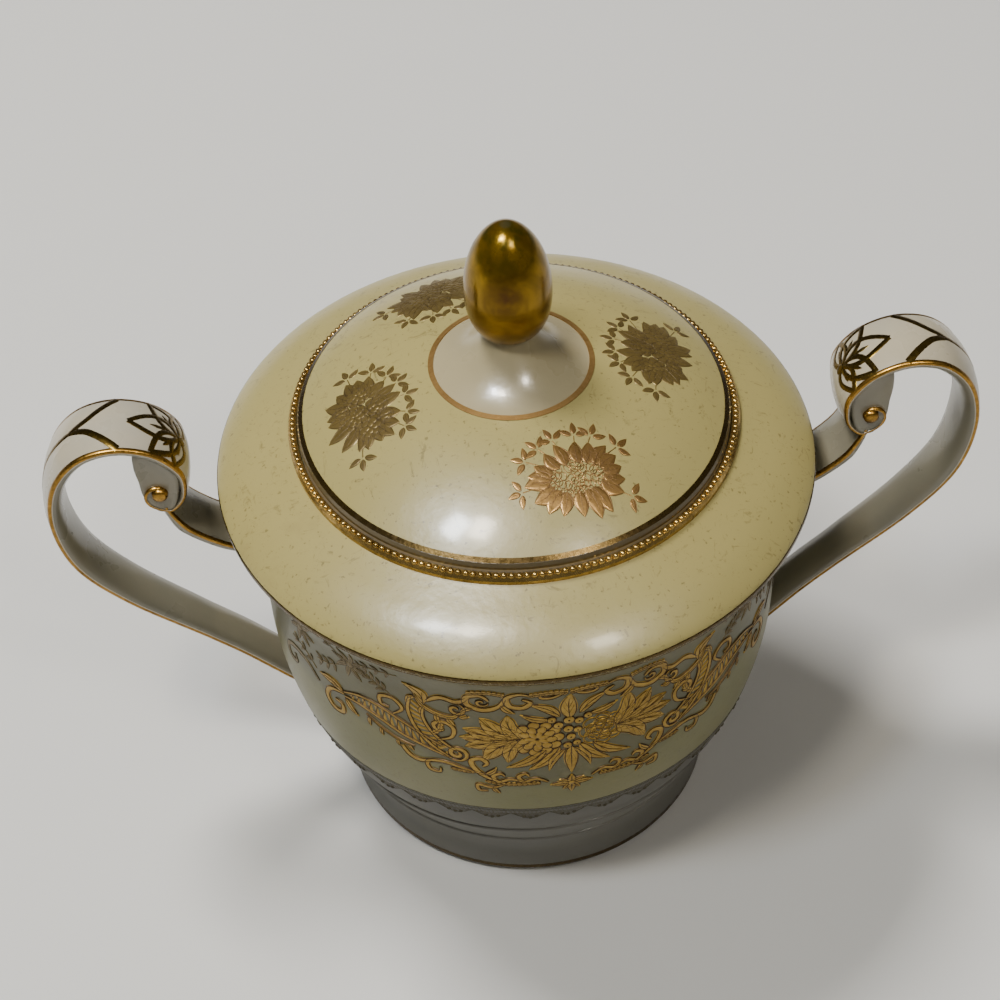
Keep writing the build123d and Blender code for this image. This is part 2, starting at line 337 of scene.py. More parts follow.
class Graph:
    """A small helper that adds and links shader nodes."""

    def __init__(self, name):
        self.material = bpy.data.materials.new(name)
        self.material.use_nodes = True
        self.tree = self.material.node_tree
        self.shader = self.tree.nodes["Principled BSDF"]
        self.coords = self.tree.nodes.new("ShaderNodeTexCoord").outputs["Object"]
        split = self.node("ShaderNodeSeparateXYZ", {0: self.coords})
        self.x, self.y, self.z = split.outputs

    def node(self, kind, inputs=None, **settings):
        made = self.tree.nodes.new(kind)
        for key, value in settings.items():
            setattr(made, key, value)
        for key, value in (inputs or {}).items():
            self.feed(made.inputs[key], value)
        return made

    def feed(self, socket, value):
        if isinstance(value, bpy.types.NodeSocket):
            self.tree.links.new(value, socket)
        else:
            socket.default_value = value

    def math(self, kind, a, b=0.0, c=0.0):
        return self.node("ShaderNodeMath", {0: a, 1: b, 2: c}, operation=kind).outputs[0]

    def add(self, a, b):
        return self.math("ADD", a, b)

    def times(self, a, b):
        return self.math("MULTIPLY", a, b)

    def noise(self, scale, detail=3.0, rough=0.55, stretch=None, distort=0.0):
        coords = self.coords
        if stretch:
            coords = self.node("ShaderNodeMapping", {"Vector": coords, "Scale": stretch}).outputs[0]
        return self.node("ShaderNodeTexNoise", {
            "Vector": coords, "Scale": scale, "Detail": detail, "Roughness": rough, "Distortion": distort,
        }).outputs["Fac"]

    def ramp(self, value, low, high, start=0.0, stop=1.0):
        return self.node("ShaderNodeMapRange", {
            "Value": value, "From Min": low, "From Max": high, "To Min": start, "To Max": stop}).outputs[0]

    def mix(self, factor, a, b):
        made = self.tree.nodes.new("ShaderNodeMix")
        made.data_type = "RGBA"
        self.feed(made.inputs[0], factor)
        self.feed(made.inputs[6], a)
        self.feed(made.inputs[7], b)
        return made.outputs[2]

    def set(self, name, value):
        self.feed(self.shader.inputs[name], value)

    def colour(self, value):
        self.set("Base Color", value)

    def bump(self, height, strength, distance):
        made = self.node("ShaderNodeBump", {"Height": height, "Strength": strength, "Distance": distance})
        self.set("Normal", made.outputs[0])


def rgb(r, g, b):
    """Linear colour from 0 to 255 screen values."""
    return tuple((v / 255) ** 2.2 for v in (r, g, b)) + (1.0,)


# The wall, foot and shade tones are darker than white porcelain: they hold some of the form's own shade.
CREAM = rgb(168, 156, 99)
CREAM_DEEP = rgb(150, 136, 80)
WALL_CREAM = rgb(104, 102, 60)
CELADON = rgb(78, 77, 48)
FOOT_WHITE = rgb(104, 103, 97)
FOOT_UPPER_SHADE = rgb(78, 77, 72)
WHITE = rgb(184, 174, 150)
WHITE_COOL = rgb(168, 164, 152)
STAND_WHITE = rgb(168, 157, 124)
SHADE_WHITE = rgb(128, 122, 104)
SHADE_COOL = rgb(116, 113, 99)
STAIN = rgb(108, 84, 52)
LIP_BRONZE = rgb(92, 81, 55)
SPECK = rgb(92, 80, 46)
# middle of a painted reflection, a dark reddish-brown spot on the egg's front, as x, y and how far it is
# below the egg's top
DARK_REFLECTION_SPOT = (-1.0, -6.6, 10.8)


def specks(g, colour, strength=0.8):
    """Firing specks, short scratches and a slow change of tone over a glaze."""
    cloud = g.ramp(g.noise(26.0, 4.0), 0.35, 0.7)
    toned = g.mix(g.times(cloud, 0.2 * strength), colour, CREAM_DEEP)
    dots = g.ramp(g.noise(1000.0, 2.0), 0.655, 0.72)
    toned = g.mix(g.times(dots, strength * 0.7), toned, SPECK)
    for stretch in ((1.0, 2.4, 2.0), (2.4, 1.0, 2.0)):
        scratch = g.ramp(g.noise(190.0, 5.0, 0.72, stretch, 1.6), 0.6, 0.7)
        toned = g.mix(g.times(scratch, strength * 0.62), toned, SPECK)
    return toned


def finish_glaze(g, rough=0.3, spread=0.12, coat=0.35, dull=0.0):
    shine = g.ramp(g.noise(60.0, 4.0), 0.3, 0.7, rough, rough + spread)
    shine = g.math("MAXIMUM", shine, dull)
    g.set("Roughness", shine)
    g.set("IOR", 1.45)
    g.set("Coat Weight", coat)
    g.set("Coat Roughness", 0.11)
    g.set("Coat IOR", 1.45)
    ripple = g.add(g.noise(220.0, 2.0), g.times(g.noise(1300.0, 2.0), 0.25))
    g.bump(ripple, 0.22, 0.00035)
    return g.material


def bowl_glaze():
    """Cream shoulder. Below it the lower wall is darker cream, the ground behind the cartouche greenish and
    the foot grey: all three hold painted shade.
    """
    g = Graph("bowl_glaze")
    height = g.math("DIVIDE", g.z, MM)
    angle = g.math("ARCTAN2", g.y, g.x)
    swing = g.math("ABSOLUTE", g.math("COSINE", g.add(angle, -math.radians(CENTRE_ANGLE))))
    side = g.ramp(swing, 0.97, 0.78)
    wobble = g.ramp(g.noise(140.0, 3.0), 0.3, 0.7, -1.2, 1.2)
    line = g.add(g.add(GROUND_EDGE, g.times(side, GROUND_RISE)), wobble)
    inside = g.ramp(g.math("SUBTRACT", height, line), -2.2, 2.2)
    # below the shoulder line the wall and its greenish ground take darker tones: painted shade under the
    # shoulder
    wall = g.mix(inside, WALL_CREAM, CELADON)
    shoulder = g.ramp(height, SHOULDER_Z - 0.2, SHOULDER_Z + 0.4)
    body = g.mix(shoulder, wall, CREAM)
    stain = g.ramp(g.noise(30.0, 5.0, 0.7), 0.6, 0.72, 0.0, 0.4)
    body = g.mix(stain, body, g.mix(0.55, CREAM, STAIN))
    foot = g.ramp(height, LACE_TOP + 0.15, LACE_TOP - 0.15)
    # the foot darkens towards its top: painted shade under the wall
    foot_shaded_tone = g.mix(g.ramp(height, 20.0, 27.0), FOOT_WHITE, FOOT_UPPER_SHADE)
    body = g.mix(foot, specks(g, body), specks(g, foot_shaded_tone, 0.25))
    g.colour(body)
    below = g.math("SUBTRACT", 1.0, shoulder)
    dull = g.math("MAXIMUM", g.times(foot, 0.62), g.times(below, 0.46))
    return finish_glaze(g, coat=0.14, dull=dull)


def lid_glaze():
    """Cream dome with a bronze lip outside the gilt line and a white underside."""
    g = Graph("lid_glaze")
    flat = g.node("ShaderNodeCombineXYZ", {0: g.x, 1: g.y}).outputs[0]
    radius = g.node("ShaderNodeVectorMath", {0: flat}, operation="LENGTH").outputs["Value"]
    lip = g.ramp(radius, (LID_EDGE - 1.1) * MM, (LID_EDGE - 0.9) * MM)
    under = g.ramp(g.z, LIP_UNDERSIDE * MM, (LIP_UNDERSIDE - 0.2) * MM)
    white = g.math("MAXIMUM", lip, under)
    edge = g.mix(under, LIP_BRONZE, WHITE)
    g.colour(g.mix(white, specks(g, CREAM), edge))
    return finish_glaze(g)


def white_glaze(name, warm, cool):
    g = Graph(name)
    g.colour(specks(g, g.mix(g.ramp(g.noise(45.0, 3.0), 0.35, 0.65), warm, cool), 0.08))
    return finish_glaze(g, 0.24, 0.1)


def gilding(name, bright, dark, rough, wear=0.0, grain=900.0, metal=1.0):
    """Fired gold, patchy in tone, with the glaze showing where it is worn."""
    g = Graph(name)
    patch = g.ramp(g.noise(120.0, 4.0, 0.6), 0.35, 0.65)
    fine = g.ramp(g.noise(grain, 3.0, 0.6), 0.35, 0.7)
    tone = g.mix(g.times(g.add(patch, fine), 0.5), rgb(*bright), rgb(*dark))
    bare = g.ramp(g.noise(210.0, 5.0, 0.7), 0.66, 0.72, 0.0, wear)
    g.colour(g.mix(bare, tone, CREAM_DEEP))
    g.set("Metallic", g.times(g.math("SUBTRACT", 1.0, bare), metal))
    g.set("Roughness", g.ramp(fine, 0.0, 1.0, rough, rough + 0.16))
    g.bump(g.noise(grain * 1.6, 2.0), 0.25, 0.0001)
    return g.material


def egg_gold():
    """Bright fired gold on the egg: mottled, greener and worn towards its tip, finely scratched, with a
    painted dark reflection on its front.
    """
    g = Graph("egg_gold")
    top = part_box("finial_egg")[1][2]
    patch = g.ramp(g.noise(170.0, 4.0, 0.6, None, 0.8), 0.38, 0.62)
    tone = g.mix(patch, rgb(144, 112, 16), rgb(110, 84, 8))
    crown = g.ramp(g.z, top - 0.011, top - 0.001)
    mottle = g.ramp(g.noise(420.0, 4.0, 0.65), 0.45, 0.62)
    tone = g.mix(g.times(crown, g.times(mottle, 0.75)), tone, rgb(74, 72, 18))
    pits = g.ramp(g.noise(650.0, 2.0), 0.72, 0.76)
    tone = g.mix(g.times(pits, 0.6), tone, rgb(50, 30, 8))
    worn = g.ramp(g.z, top - 0.00022, top - 0.00006)
    tone = g.mix(g.times(worn, 0.35), tone, rgb(120, 116, 90))
    # painted reflection: a dark reddish-brown spot on the egg's front
    across, back, down = DARK_REFLECTION_SPOT
    middle = g.node("ShaderNodeCombineXYZ", {0: across * MM, 1: back * MM, 2: top - down * MM}).outputs[0]
    far = g.node("ShaderNodeVectorMath", {0: g.coords, 1: middle}, operation="DISTANCE").outputs["Value"]
    reflection_spot = g.times(g.ramp(far, 0.0048, 0.0008), g.ramp(g.noise(330.0, 4.0, 0.6), 0.25, 0.55))
    tone = g.mix(g.times(reflection_spot, 0.8), tone, rgb(58, 26, 6))
    g.colour(tone)
    g.set("Metallic", 0.72)
    lines = g.noise(500.0, 3.0, 0.6, (3.0, 3.0, 0.25))
    rough = g.ramp(g.add(g.times(patch, 0.5), lines), 0.3, 1.2, 0.12, 0.26)
    g.set("Roughness", rough)
    g.bump(g.add(g.times(lines, 0.4), g.noise(240.0, 3.0)), 0.3, 0.00016)
    return g.material


# ---------------------------------------------------------------- the bowl's decoration

CENTRE_ANGLE = -86.6
LACE_TOP = 36.3
LACE_SCALLOPS = 40
OPEN_ROSE = (6.4, 61.2)
# the greenish ground's lower edge: its height under the cartouche, and how far it rises beside the handles
GROUND_EDGE = 47.0
GROUND_RISE = 9.5


def on_wall(middle):
    """Places (along, height, rise) on the wall, along being measured from a direction in degrees."""
    def place(along, height, rise):
        angle = math.radians(middle) + along / BELLY
        radius = read(WALL, height)
        slope = (read(WALL, height + 0.5) - read(WALL, height - 0.5))
        lean = math.hypot(1.0, slope)
        radius += rise / lean
        height -= rise * slope / lean
        return (radius * math.cos(angle) * MM, radius * math.sin(angle) * MM, height * MM)
    return place


def bouquet(r):
    """The flowers and leaves in the middle of the cartouche."""
    left = (-9.0, 61.4)
    for tip, width, bend in (
            ((-11.6, 54.2), 4.4, -0.1), ((-11.4, 68.4), 4.6, 0.12), ((-16.2, 54.6), 5.6, -0.1),
            ((-16.6, 67.2), 5.6, 0.1), ((-19.6, 58.2), 5.2, -0.04), ((-19.8, 63.6), 5.2, 0.05),
            ((-20.6, 60.9), 4.8, 0.02)):
        r.leaf(left, tip, width, bend, veins=5, lobes=3)
    right = (9.2, 61.2)
    for tip, width, bend in (
            ((11.4, 69.8), 4.6, -0.12), ((15.0, 54.8), 5.2, 0.1), ((16.2, 68.2), 5.6, -0.1),
            ((19.2, 58.2), 5.0, 0.04), ((19.6, 64.6), 5.2, -0.05), ((20.6, 61.4), 4.8, 0.0)):
        r.leaf(right, tip, width, bend, veins=5, lobes=3)
    r.leaf((0.2, 66.4), (0.3, 74.0), 3.8, 0.04, veins=3)
    r.leaf((2.0, 67.4), (7.4, 72.4), 2.6, 0.08, veins=2)
    r.leaf((-1.6, 67.2), (-7.4, 71.6), 2.6, -0.1, veins=2)
    r.leaf((-3.6, 66.4), (-9.0, 68.6), 2.0, 0.1)
    r.leaf((4.0, 66.6), (9.4, 68.4), 2.0, -0.1)
    for side in (-1, 1):
        r.leaf((side * 1.8, 58.4), (side * 7.8, 51.8), 3.0, -0.1 * side, veins=2)
        r.leaf((side * 4.4, 57.8), (side * 12.0, 52.6), 2.8, -0.1 * side, veins=2)
        r.leaf((side * 0.9, 57.4), (side * 4.0, 51.0), 2.2, 0.1 * side)
    r.leaf((0.3, 58.0), (0.3, 49.6), 3.2, 0.0, veins=2)
    r.rose((-6.0, 61.2), 5.2, 10)
    r.rose(OPEN_ROSE, 4.6, 7, filled=False)
    for turn in range(20, 380, 120):
        angle = math.radians(turn)
        line = [polar(OPEN_ROSE, 1.0 + 0.42 * i, angle + math.radians(9 * i)) for i in range(9)]
        r.stroke(line, 0.5, 0.2, FILL, (0.6, 0.6))
    for u, v, size in (
            (0.0, 65.8, 2.3), (-2.0, 64.6, 2.1), (1.9, 65.2, 2.0), (-0.2, 63.2, 2.1), (0.3, 60.8, 2.0),
            (-0.4, 58.4, 1.9), (1.4, 58.8, 1.7), (-3.2, 66.4, 1.9), (1.6, 62.6, 1.8), (3.6, 66.2, 1.8)):
        r.petal((u, v), size, size, 0, rise=0.3)
        r.petal((u, v), size * 0.28, size * 0.28, 0, outline=0, rise=0.36, mark=LINE)


def star(r, u, v):
    """A flower of eight pointed leaves round a bead."""
    for turn in (35, 145, 235, 305):
        angle = math.radians(turn)
        r.leaf((u, v), (u + 3.0 * math.cos(angle), v + 2.6 * math.sin(angle)), 1.7)
    for turn, reach in ((0, 4.2), (90, 2.8), (180, 4.2), (270, 3.4)):
        angle = math.radians(turn)
        r.leaf((u, v), polar((u, v), reach, angle), 2.1)
    r.petal((u, v), 1.5, 1.5, 0, rise=0.3)


def husks(r, points, size):
    """A run of overlapping husk leaves along a line."""
    for a, b in zip(points, points[2:]):
        r.leaf(a, (a[0] + (b[0] - a[0]) * 0.9, a[1] + (b[1] - a[1]) * 0.9), size, 0.1, edge=0.18)


def corner_acanthus(r):
    """The leaf at the cartouche's corner, with the stem that runs down beside the bouquet."""
    r.leaf((27.0, 68.4), (30.8, 74.0), 3.6, 0.2, veins=2)
    r.plume(smooth([(28.8, 71.2), (27.4, 68.2), (24.6, 66.6), (21.6, 66.4), (20.0, 68.2)]), 1.8, 5, 1, 3.6)
    r.scroll([(26.4, 69.8), (23.6, 72.0), (20.6, 71.4), (18.6, 73.0)], 1.9)
    r.band(curl((20.8, 69.0), 1.9, 100, 1.2), 1.2)
    outer = smooth([(29.6, 70.0), (30.4, 65.6), (29.2, 61.0), (26.4, 57.0), (22.4, 54.0)])
    inner = smooth([(27.2, 67.4), (27.4, 64.4), (26.0, 61.0), (23.6, 58.2), (21.0, 56.4)])
    for i in range(2, len(inner) - 1, 2):
        r.stroke([inner[i], outer[i]], 1.0, 0.15, FILL, (0.9, 0.9))
    r.band(outer, 1.3, (0.6, 0.6))
    r.band(inner, 1.1, (0.6, 0.6))
    r.band(curl((21.2, 55.6), 2.3, 300, -1.5), 1.5)
    r.scroll([(24.8, 58.8), (22.0, 60.4), (21.6, 63.2), (23.6, 64.6),
              (25.4, 63.2), (24.6, 61.6), (23.4, 62.2)], 1.4)
    husks(r, smooth([(26.0, 60.4), (24.4, 62.0), (24.0, 64.6)], 3), 1.6)


def top_garland(r):
    r.scroll([(11.6, 74.0), (12.8, 71.2), (15.8, 69.8), (18.6, 71.2),
              (18.4, 73.8), (16.0, 74.6), (14.6, 73.0)], 1.9)
    r.band(curl((15.9, 72.2), 1.3, 180, 1.0), 1.0)
    r.scroll([(6.6, 74.6), (9.0, 75.6), (11.2, 74.2), (10.8, 71.4),
              (8.4, 70.8), (7.0, 72.4), (8.4, 73.6)], 1.8)
    husks(r, smooth([(0.2, 74.6), (2.6, 75.4), (5.2, 75.2), (7.6, 74.8)], 3), 2.2)
    r.scroll([(0.4, 75.2), (3.0, 73.6), (5.0, 73.8), (5.2, 75.0)], 1.2)
    husks(r, smooth([(11.6, 75.0), (13.6, 75.8), (16.2, 75.8), (18.8, 74.8)], 3), 1.9)
    r.leaf((12.4, 71.6), (9.8, 69.0), 1.8, 0.1)
    r.leaf((17.6, 70.2), (20.0, 68.2), 1.6, 0.1)


def bottom_garland(r):
    r.scroll([(4.2, 47.4), (6.4, 48.8), (8.8, 48.0), (9.8, 49.6), (8.6, 50.6), (7.8, 49.8)], 1.4)
    r.scroll([(8.4, 47.6), (11.2, 48.8), (13.6, 47.8), (14.6, 49.6), (13.2, 50.6), (12.4, 49.8)], 1.4)
    husks(r, smooth([(5.6, 47.2), (9.0, 46.9), (13.0, 46.9), (16.4, 47.8)], 4), 1.3)
    r.scroll([(13.0, 47.8), (15.8, 49.2), (18.0, 51.6), (18.6, 54.0),
              (16.8, 55.0), (15.6, 53.6), (16.4, 52.6)], 1.7)
    r.leaf((16.0, 50.0), (13.8, 52.6), 1.5, 0.1)
    r.scroll([(12.4, 47.0), (15.0, 45.6), (17.6, 46.4), (17.6, 44.4), (15.8, 44.2)], 1.3)
    r.leaf((14.8, 45.8), (13.4, 43.6), 1.5, 0.1)
    r.scroll([(15.6, 50.0), (20.0, 51.2), (24.0, 52.2), (27.2, 51.2),
              (27.0, 48.8), (25.0, 48.6), (24.8, 50.0)], 1.3)
    husks(r, smooth([(18.0, 50.4), (20.4, 50.2), (23.0, 50.6)], 3), 1.2)
    r.scroll([(26.4, 51.8), (29.0, 50.8), (31.0, 51.6), (32.4, 53.8)], 1.6, (0.5, 0.9))


def outer_band(r):
    """The latticed band that leaves the cartouche towards the handle."""
    low = smooth([(22.6, 54.0), (27.6, 55.8), (32.4, 57.4), (37.0, 59.4), (41.6, 60.4), (45.2, 60.0)])
    high = smooth([(24.0, 57.2), (28.6, 59.6), (32.8, 61.6), (37.0, 63.0), (41.2, 63.0), (45.2, 61.2)])
    for i in range(2, len(low) - 3, 2):
        r.stroke([low[i], high[i + 1]], 0.9, 0.14, FILL, (0.9, 0.9))
        r.stroke([high[i], low[i + 1]], 0.35, 0.2, LINE, (0.8, 0.8))
    r.band(low, 1.2, (0.6, 0.6))
    r.band(high, 1.1, (0.6, 0.6))
    r.plume(smooth([(40.0, 58.6), (36.6, 56.6), (32.6, 55.0), (29.6, 54.8)]), 1.1, 4, 1, 2.6)
    r.scroll([(33.6, 62.6), (31.6, 65.0), (33.4, 67.2), (36.2, 66.4), (36.2, 64.2), (34.4, 64.0)], 1.4)
    r.scroll([(45.2, 60.6), (48.8, 59.4), (50.4, 56.6), (49.0, 54.0),
              (46.4, 54.2), (46.2, 56.6), (48.0, 57.0)], 1.7)
    r.leaf((45.2, 61.0), (52.0, 61.6), 2.6, 0.1, veins=2)
    r.leaf((45.0, 59.6), (42.0, 56.2), 2.0, 0.1)


def sprig(r, stem, size):
    """A thin stem with paired leaflets."""
    r.stroke(stem, 0.4, 0.16, FILL, (0.8, 0.8))
    for i in range(2, len(stem) - 1, 2):
        (u, v), (x, y) = stem[i], stem[i + 1]
        way = math.atan2(y - v, x - u)
        for lean in (-0.9, 0.9):
            r.leaf((u, v), polar((u, v), size, way + lean), size * 0.42, 0.1, edge=0.14)


def aster(r, centre, radius):
    """A small flower with pointed petals."""
    for turn in range(0, 360, 45):
        r.leaf(centre, polar(centre, radius, math.radians(turn + 12)), radius * 0.34, 0.05, edge=0.16)
    r.petal(centre, radius * 0.5, radius * 0.5, 0, outline=0.18)


def half_frame(r):
    """One side of the cartouche's frame. It is drawn for the right side and mirrored for the left."""
    outer_band(r)
    corner_acanthus(r)
    top_garland(r)
    bottom_garland(r)


def side_sprays(r):
    """Thinly painted sprays between the cartouche and the handle."""
    sprig(r, smooth([(34.0, 68.2), (36.4, 69.4), (39.0, 71.2), (41.4, 72.6)], 4), 2.4)
    sprig(r, smooth([(31.6, 75.4), (35.6, 74.4), (40.0, 73.4)], 4), 2.0)
    aster(r, (42.6, 71.4), 4.4)
    sprig(r, smooth([(45.6, 73.0), (49.0, 74.8), (52.8, 75.4)], 4), 2.2)
    sprig(r, smooth([(45.4, 69.2), (48.6, 66.8), (52.2, 65.6)], 4), 2.2)
    aster(r, (57.0, 70.4), 4.6)
    sprig(r, smooth([(60.4, 72.6), (63.6, 74.0), (67.0, 73.8)], 4), 2.2)
    r.scroll([(52.6, 58.2), (56.0, 60.8), (60.4, 61.0), (64.0, 58.8),
              (63.4, 56.0), (60.8, 56.4), (61.2, 58.4)], 1.5)
    sprig(r, smooth([(53.0, 61.6), (56.4, 64.0), (60.8, 64.6)], 4), 2.0)


def lace(r):
    """Lace edging that hangs below the cream ground: netted scallops round the whole wall."""
    step = 2 * math.pi * BELLY / LACE_SCALLOPS
    top = LACE_TOP
    r.stroke([(step * LACE_SCALLOPS * i / 240, top) for i in range(241)], 0.3, 0.05, LINE, (1, 1))
    r.stroke([(step * LACE_SCALLOPS * i / 240, top - 0.8) for i in range(241)], 0.18, 0.04, LINE, (1, 1))
    for i in range(LACE_SCALLOPS):
        middle = step * i
        for depth, reach, width in (
                (4.8, 0.50, 0.26), (4.1, 0.46, 0.16), (3.3, 0.40, 0.16), (2.6, 0.30, 0.14)):
            line = []
            for k in range(13):
                t = k / 12
                line.append((middle + step * reach * (2 * t - 1),
                             top - 2.0 - (depth - 2.0) * math.sin(math.pi * t) ** 1.2))
            r.stroke(line, width, 0.05, FILL if width < 0.2 else LINE, (1, 1))
        for k in range(-4, 5):
            drop = 0.8 + (1.5 if abs(k) < 2 else 1.1 if abs(k) == 2 else 0.7)
            for lean in (-1, 1):
                foot = (middle + step * 0.11 * (k + 0.9 * lean), top - drop - 0.9)
                r.stroke([(middle + step * 0.11 * k, top - 0.2), foot], 0.15, 0.04, FILL, (1, 1))
        for k in (-1, 0, 1):
            height = top - 3.6 - (0.7 if k == 0 else 0.1)
            r.petal((middle + 1.3 * k, height), 0.8, 0.6, 0, outline=0.14, rise=0.04, mark=None)


RIM_STEPS = 360
RIM_ROWS = 9
# the gold round the rim, from its lower edge's height over the line's, and its width up the rim
RIM_START = 0.3
RIM_WIDTH = 1.2


def shoulder_gilding():
    """Gold laid round the rim, over and above the line let into it."""
    line_tree = surface_tree("shoulder_gilt_line")
    limit = CAD_BOX[1][1] / MM
    verts = []
    for i in range(RIM_ROWS):
        height = SHOULDER_Z + RIM_START + RIM_WIDTH * i / (RIM_ROWS - 1)
        hit = line_tree.ray_cast(Vector((0, -FAR, height * MM)), Vector((0, 1, 0)))[0]
        radius = max(wall_radius_at(height), -hit.y / MM if hit else 0.0)
        sink = -0.1 if i in (0, RIM_ROWS - 1) else 0.05
        radius = min(radius + sink, limit)
        for k in range(RIM_STEPS):
            angle = 2 * math.pi * k / RIM_STEPS
            verts.append((radius * math.cos(angle) * MM, radius * math.sin(angle) * MM, height * MM))
    make_piece("shoulder_gilding", verts, ring_faces(RIM_ROWS, RIM_STEPS), [RIM_GILT], "bowl", "gilt")


# ---------------------------------------------------------------- the lid's sprays

SPRAYS = ((-170.0, 28.6, -8), (-73.0, 28.6, 6), (4.0, 27.4, 10), (116.0, 27.6, -6))
FRONT_SPRAY = 1


def on_lid(azimuth, radius):
    """Places (across, outwards, rise) on the dome, round a point at that azimuth and radius."""
    angle = math.radians(azimuth)

    def place(across, outwards, rise):
        far = radius + outwards
        x = far * math.cos(angle) - across * math.sin(angle)
        y = far * math.sin(angle) + across * math.cos(angle)
        distance = math.hypot(x, y)
        slope = (read(DOME, distance + 0.5) - read(DOME, distance - 0.5))
        lean = math.hypot(1.0, slope)
        push = -rise * slope / lean / distance
        return (x * (1 + push) * MM, y * (1 + push) * MM, (read(DOME, distance) + rise / lean) * MM)
    return place


def lid_spray(r, filled=True):
    """A loose posy: flowers, pointed leaves all round and small leaflets towards the finial."""
    for turn in range(0, 360, 20):
        angle = math.radians(turn + rng.uniform(-6, 6))
        grow = rng.uniform(0.9, 1.1)
        base = (5.2 * math.cos(angle), 2.6 * math.sin(angle))
        tip = (9.8 * grow * math.cos(angle), 7.6 * grow * math.sin(angle))
        r.leaf(base, tip, rng.uniform(3.0, 3.7), rng.uniform(-0.12, 0.12), veins=2, edge=0.2)
    for u, v, radius, petals in (
            (-4.9, -0.7, 3.0, 8), (4.6, 0.3, 3.1, 7), (0.0, 1.9, 3.0, 8), (0.4, -2.7, 2.5, 6),
            (-3.4, 3.4, 1.7, 5), (4.0, -3.2, 1.7, 5)):
        r.rose((u, v), radius, petals, filled, outline=0.2 if filled else 0.1)
    for turn, reach in (
            (184, 10.9), (207, 10.0), (232, 8.8), (258, 8.3),
            (284, 8.3), (310, 8.9), (335, 10.2), (24, 10.4)):
        angle = math.radians(turn + rng.uniform(-5, 5))
        heart = polar((0.0, 0.0), reach, angle)
        r.stroke([(heart[0] * 0.72, heart[1] * 0.72), heart], 0.3, 0.12, FILL, (0.8, 0.8))
        for lean in (-72, -4, 64):
            way = angle + math.radians(lean)
            r.leaf(polar(heart, 0.5, way), polar(heart, 3.0, way), 1.35, 0.04, edge=0.14)


# ---------------------------------------------------------------- the handles

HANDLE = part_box("handle_right")
REACH = HANDLE[1][0] / MM
CREST_TOP = HANDLE[1][2] / MM
TOP_HALF_WIDTH = HANDLE[1][1] / MM
FOOT_HALF_WIDTH = 4.5
STRAP_THICKNESS = 4.1
ARM_THICKNESS = 4.4
# the arm thickens over its first millimetres, and the strap thins towards the end of the scroll
ARM_START_THICKNESS = 2.6
ARM_TAPER = 7.0
SCROLL_THICKNESS = 1.3
SCROLL_TAPER = 16.0
# crest of the strap as (inwards from its reach, down from its top), root to scroll
CREST = [(46.0, 80.2), (40.4, 74.8), (31.9, 65.6), (23.9, 57.9), (11.2, 45.5), (2.9, 33.7), (0.12, 20.7),
         (2.0, 9.4), (7.8, 2.2), (15.8, 0.05), (23.6, 2.7), (28.3, 8.8), (28.0, 15.8), (24.7, 19.8)]
ARM = [(24.2, 17.8), (25.6, 21.0), (28.4, 25.2), (34.1, 29.8), (39.6, 31.6), (46.0, 32.6)]
EYE = (22.5, 14.6)
CORE = [(24.7, 19.4), (26.0, 15.3), (26.3, 9.6), (22.4, 4.6), (19.2, 3.4), (18.6, 7.2), (19.0, 11.0),
        (19.5, 15.6), (21.8, 19.4)]


def half_width(height):
    """Half the strap's width at a height: it narrows towards the root."""
    t = min(max((height - 46.0) / 52.0, 0.0), 1.0)
    return FOOT_HALF_WIDTH + (TOP_HALF_WIDTH - FOOT_HALF_WIDTH) * t


class Strap:
    """A domed ribbon swept along a line in the XZ plane. Its outer face is on the line's right."""

    def __init__(self, points, thickness, steps=8, side=1, width=None):
        self.side = side
        line = smooth(points, steps)
        self.points = []
        run = 0.0
        for i, (x, z) in enumerate(line):
            a, b = line[max(i - 1, 0)], line[min(i + 1, len(line) - 1)]
            tx, tz = b[0] - a[0], b[1] - a[1]
            size = math.hypot(tx, tz)
            if i:
                run += math.hypot(x - line[i - 1][0], z - line[i - 1][1])
            self.points.append((x, z, tz / size, -tx / size, run))
        self.length = run
        self.thickness = thickness
        self.width = width or (lambda run, height: half_width(height))

    def at(self, run):
        """Point, outward normal and half width at a distance along the crest."""
        rows = self.points
        run = min(max(run, 0.0), self.length)
        for i in range(len(rows) - 1):
            if rows[i + 1][4] >= run:
                break
        a, b = rows[i], rows[i + 1]
        t = (run - a[4]) / max(b[4] - a[4], 1e-9)
        x, z, nx, nz = (a[n] + (b[n] - a[n]) * t for n in range(4))
        return x, z, nx, nz, self.width(run, z)

    def place(self, across, run, rise):
        """A point on the outer face, rise millimetres off it."""
        x, z, nx, nz, w = self.at(run)
        depth = -CROWN * min(abs(across / w), 1.0) ** 2.2 + rise
        return (self.side * (x + nx * depth) * MM, across * MM, (z + nz * depth) * MM)


CROWN = 1.15
FIRST_INNER = 18
SIDE_POINTS = 2


def section(w, thick):
    """The strap's outline as (across, depth), from one edge over the crown and back underneath."""
    out = []
    lip = CROWN * (thick / STRAP_THICKNESS) ** 0.5
    for i in range(17):
        u = -1 + 2 * i / 16
        out.append((w * u * 0.97, -lip * abs(u) ** 2.2))
    deep = thick - lip
    under = ((w, -lip - 0.3), (w - 0.04, -lip - 0.3 - 0.18 * deep), (w - 0.4, -lip - 0.52 * deep),
             (w - 1.4, -lip - 0.78 * deep), (w - 3.0, -lip - 0.93 * deep))
    out.extend(under)
    out.append((0.0, -thick))
    out.extend((-across, depth) for across, depth in under[::-1])
    return out


def edge_strip(way):
    """A narrow part of the outline, round one outer corner, for the gilt line along it."""
    def outline(w, thick):
        lip = CROWN * (thick / STRAP_THICKNESS) ** 0.5
        crown = [(way * w * u * 0.97, -lip * u ** 2.2) for u in (0.9, 0.95, 1.0)]
        side = [(way * w, -lip - 0.3), (way * (w - 0.04), -lip - 0.3 - 0.18 * (thick - lip))]
        return crown + side if way > 0 else (crown + side)[::-1]
    return outline


